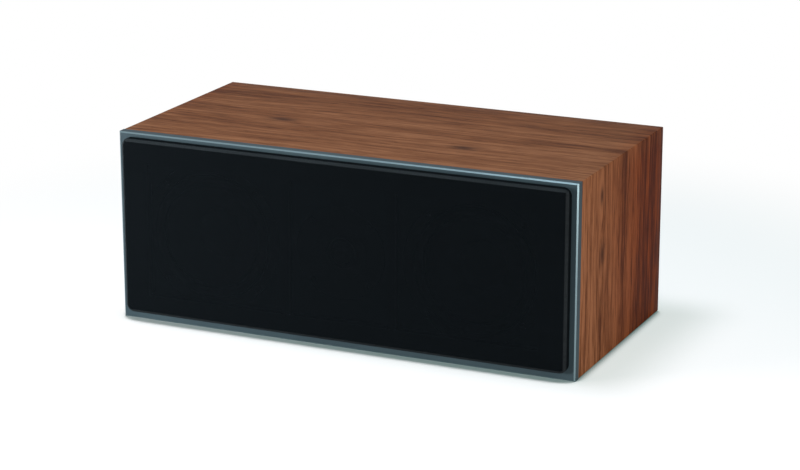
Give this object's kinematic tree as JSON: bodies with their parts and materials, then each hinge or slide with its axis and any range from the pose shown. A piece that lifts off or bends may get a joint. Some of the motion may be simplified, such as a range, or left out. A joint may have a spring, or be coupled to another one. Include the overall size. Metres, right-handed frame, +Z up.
{
  "type": "center channel speaker",
  "caption": "Low, wide center channel loudspeaker: wood-grain box, painted front panel, black cloth grille that pulls off over cone woofers and a dome tweeter, screw terminals behind.",
  "frame": {"origin": "middle of the cabinet's underside, under the middle of the box's depth", "axes": "+X along the cabinet's width, to the right seen from the front; front faces -Y; +Z up"},
  "size_m": [0.54, 0.2755, 0.214],
  "materials": {
    "walnut_wrap": "wood-grain vinyl, satin",
    "baffle_paint": "satin blue-grey paint on board",
    "black_board": "matt black board",
    "raw_board": "raw fibreboard",
    "grille_cloth": "woven black cloth",
    "grille_plastic": "moulded, matt",
    "magnet_nickel": "nickel plated",
    "basket_black": "powder coat",
    "cone_grey": "mineral-filled, matt",
    "surround_rubber": "matt",
    "spider_cloth": "resin-dipped cloth",
    "motor_steel": "zinc plated",
    "faceplate_black": "fine texture",
    "dome_fabric": "coated",
    "screw_black": "black oxide",
    "terminal_black": "fine texture",
    "post_metal": "plated",
    "cap_red": "moulded",
    "cap_black": "moulded",
    "board_resin": "laminate",
    "coil_copper": "enamelled",
    "capacitor_film": "dipped",
    "resistor_cement": "cement",
    "standoff_nylon": "nylon",
    "wadding_white": "polyester wadding"
  },
  "bodies": {
    "cabinet": {"cabinet_wrap": "walnut_wrap", "front_baffle": "baffle_paint", "rear_panel": "black_board", "brace_left": "raw_board", "brace_right": "raw_board", "wadding_left": "wadding_white", "wadding_right": "wadding_white", "baffle_magnets": "magnet_nickel", "woofer_baskets": "basket_black", "woofer_motor_cups": "motor_steel", "woofer_magnets": "magnet_nickel", "woofer_pole_plates": "motor_steel", "woofer_screws": "screw_black", "tweeter_faceplate": "faceplate_black", "tweeter_dome": "dome_fabric", "tweeter_motor": "motor_steel", "tweeter_screws": "screw_black", "terminal_cup": "terminal_black", "terminal_screws": "screw_black", "post_stems": "post_metal", "crossover_board": "board_resin", "crossover_coil": "coil_copper", "crossover_capacitors": "capacitor_film", "crossover_resistor": "resistor_cement", "crossover_standoffs": "standoff_nylon", "woofer_left_surround": "surround_rubber", "woofer_left_spider": "spider_cloth", "woofer_right_surround": "surround_rubber", "woofer_right_spider": "spider_cloth"},
    "grille": {"grille_frame": "grille_plastic", "grille_cloth": "grille_cloth", "grille_magnets": "magnet_nickel"},
    "left_cone": {"woofer_left_cone": "cone_grey"},
    "right_cone": {"woofer_right_cone": "cone_grey"},
    "red_cap": {"post_cap_red": "cap_red"},
    "black_cap": {"post_cap_black": "cap_black"}
  },
  "joints": [
    {"name": "grille_pull", "type": "slide", "parent": "cabinet", "child": "grille", "axis": [0, -1, 0], "range_m": [0, 0.06]},
    {"name": "left_cone_travel", "type": "slide", "parent": "cabinet", "child": "left_cone", "axis": [0, -1, 0], "range_m": [-0.004, 0.004], "stiffness_N_per_m": 1200, "deforming": ["woofer_left_surround", "woofer_left_spider"]},
    {"name": "right_cone_travel", "type": "slide", "parent": "cabinet", "child": "right_cone", "axis": [0, -1, 0], "range_m": [-0.004, 0.004], "stiffness_N_per_m": 1200, "deforming": ["woofer_right_surround", "woofer_right_spider"]},
    {"name": "red_cap_turn", "type": "hinge", "parent": "cabinet", "child": "red_cap", "pos_m": [-0.019, 0.118, 0.107], "axis": [0, 1, 0], "range_deg": [0, 720]},
    {"name": "black_cap_turn", "type": "hinge", "parent": "cabinet", "child": "black_cap", "pos_m": [0.019, 0.118, 0.107], "axis": [0, 1, 0], "range_deg": [0, 720]}
  ]
}
